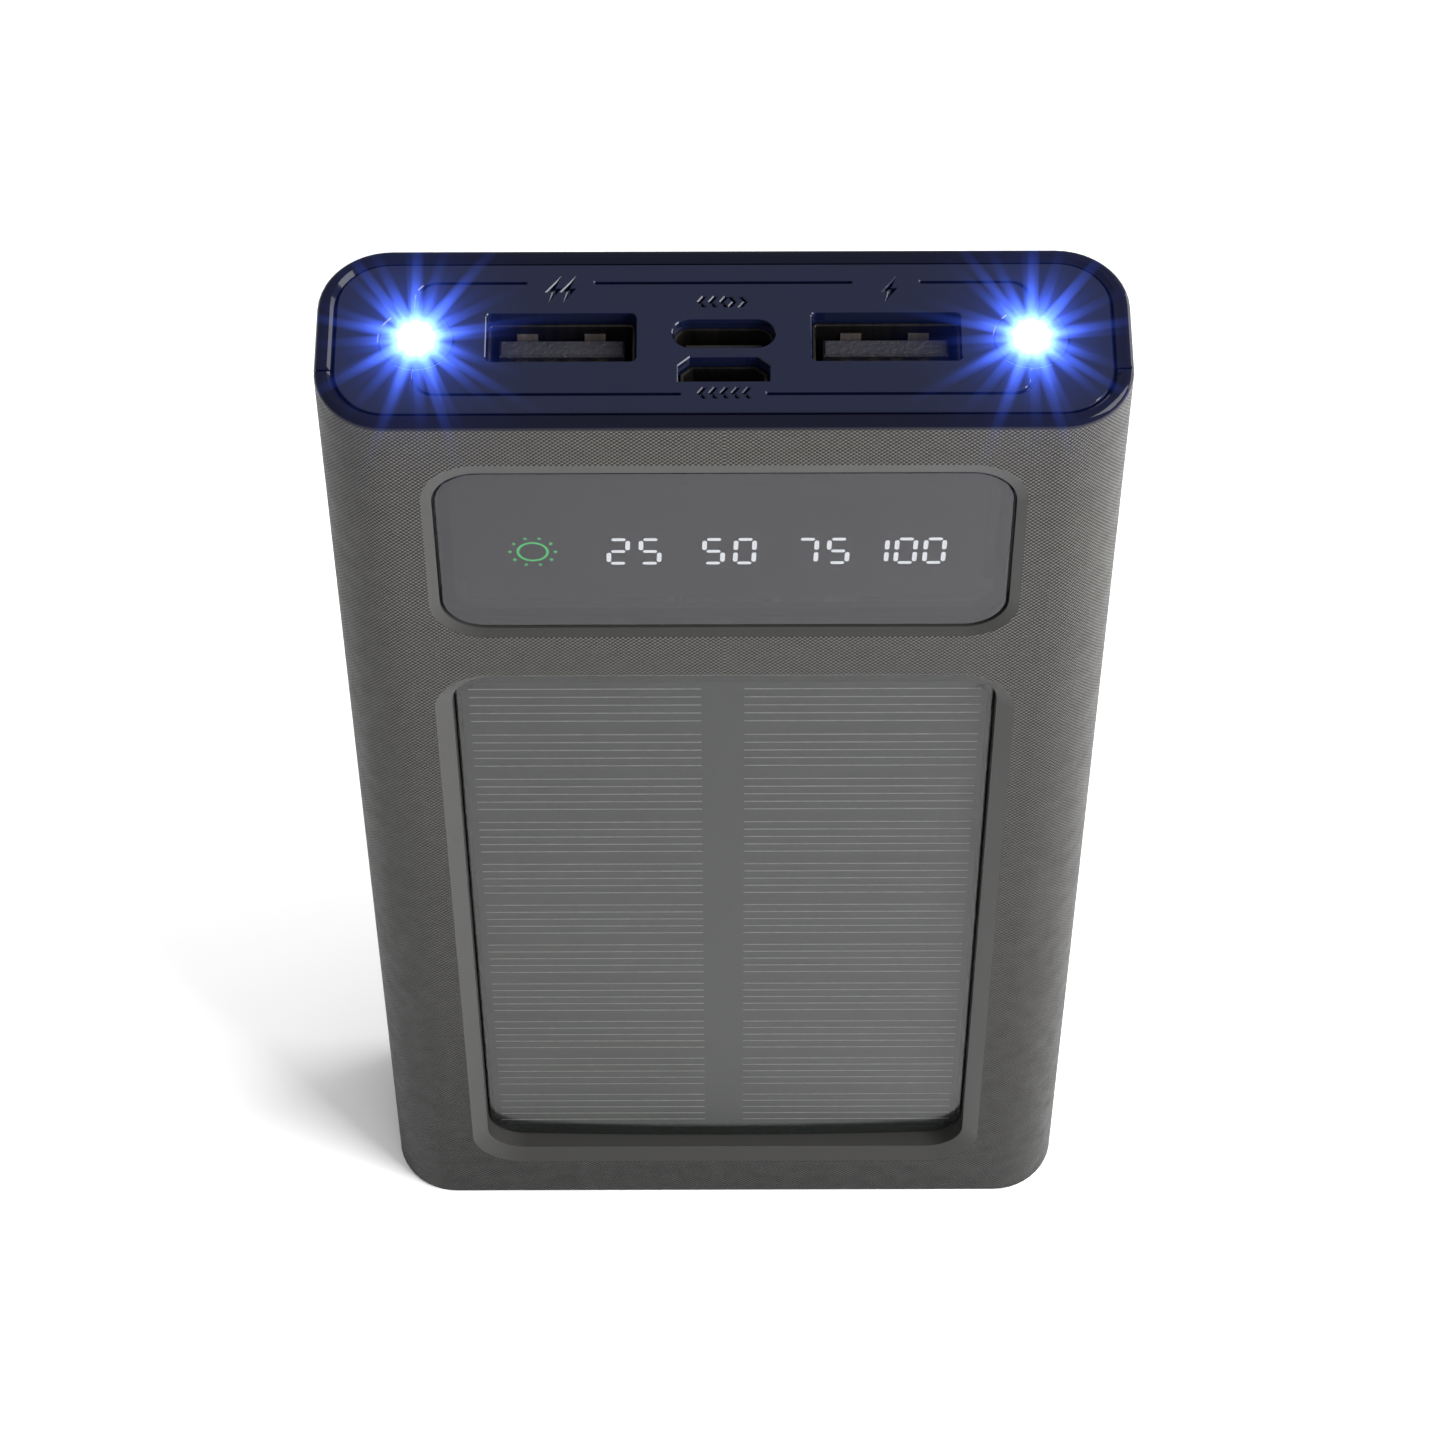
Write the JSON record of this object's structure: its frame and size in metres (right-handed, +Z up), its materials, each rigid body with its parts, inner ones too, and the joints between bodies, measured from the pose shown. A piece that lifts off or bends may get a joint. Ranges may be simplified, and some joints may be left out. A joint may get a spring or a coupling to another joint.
{
  "type": "solar power bank",
  "caption": "Slim upright solar power bank: dark textured two-part shell, charge display and solar window on the front, gloss top with charging sockets and torches.",
  "frame": {"origin": "centre of the flat base, on the base plane", "axes": "+Z up out of the ports, -Y out of the face with the display and the solar window, +X to the right when that face is seen from the front"},
  "size_m": [0.0724, 0.02, 0.1373],
  "materials": {
    "front_shell": "fine woven texture, gloss rim",
    "rear_shell": "fine woven texture, gloss rim",
    "panel_gloss": "polished black",
    "button_plastic": "polished black",
    "window_smoked": "polished smoked window",
    "adhesive_black": "adhesive tape",
    "adhesive_foam": "double-sided tape",
    "display_housing_black": "moulded",
    "numeral_light": "lit light guide",
    "sun_light": "lit light guide",
    "circuit_board": "solder mask",
    "pin_metal": "tinned",
    "solar_backing": "laminate",
    "solar_silicon": "dark silicon",
    "solar_clear": "glossy resin over the cells",
    "wire_red": "insulated wire",
    "wire_black": "insulated wire",
    "lens_clear": "clear lens",
    "lamp_body": "lit lamp",
    "socket_steel": "plated sheet",
    "insulator_black": "moulded",
    "contact_gold": "gold plated",
    "screw_steel": "zinc plated",
    "inductor_ferrite": "ferrite",
    "chip_black": "epoxy",
    "capacitor_ceramic": "ceramic",
    "switch_black": "moulded",
    "plunger_white": "moulded",
    "pouch_foil": "laminated foil",
    "tab_nickel": "nickel strip",
    "foam_grey": "foam",
    "fish_paper": "insulating card"
  },
  "bodies": {
    "case": {"front_cover": "front_shell", "rear_cover": "rear_shell", "port_panel": "panel_gloss", "display_window": "window_smoked", "display_adhesive": "adhesive_black", "display_housing": "display_housing_black", "display_numerals": "numeral_light", "display_sun": "sun_light", "display_board": "circuit_board", "display_pins": "pin_metal", "solar_adhesive": "adhesive_foam", "solar_substrate": "solar_backing", "solar_cells": "solar_silicon", "solar_resin": "solar_clear", "solar_lead_red": "wire_red", "solar_lead_black": "wire_black", "torch_lens_left": "lens_clear", "torch_lens_right": "lens_clear", "torch_led_left": "lamp_body", "torch_led_right": "lamp_body", "torch_led_leads": "pin_metal", "usb_a_left_shell": "socket_steel", "usb_a_left_tongue": "insulator_black", "usb_a_left_contacts": "contact_gold", "usb_a_right_shell": "socket_steel", "usb_a_right_tongue": "insulator_black", "usb_a_right_contacts": "contact_gold", "usb_c_shell": "socket_steel", "usb_c_tongue": "insulator_black", "usb_c_contacts": "contact_gold", "micro_usb_shell": "socket_steel", "micro_usb_tongue": "insulator_black", "micro_usb_contacts": "contact_gold", "main_board": "circuit_board", "board_screws": "screw_steel", "power_inductors": "inductor_ferrite", "controller_chips": "chip_black", "ceramic_capacitors": "capacitor_ceramic", "chip_resistors": "chip_black", "switch_body": "switch_black", "battery_cell_front": "pouch_foil", "battery_cell_rear": "pouch_foil", "cell_tape": "adhesive_foam", "cell_tabs": "tab_nickel", "foam_pad": "foam_grey", "insulation_sheet": "fish_paper", "battery_lead_red": "wire_red", "battery_lead_black": "wire_black"},
    "button": {"power_button": "button_plastic"},
    "plunger": {"switch_plunger": "plunger_white"}
  },
  "joints": [
    {"name": "button_press", "type": "slide", "parent": "case", "child": "button", "axis": [-1, 0, 0], "range_m": [0, 0.0004], "stiffness_N_per_m": 4000},
    {"name": "plunger_press", "type": "slide", "parent": "case", "child": "plunger", "axis": [-1, 0, 0], "range_m": [0, 0.0004]}
  ],
  "couplings": [
    {"joint": "plunger_press", "follows": "button_press", "ratio": 1}
  ]
}
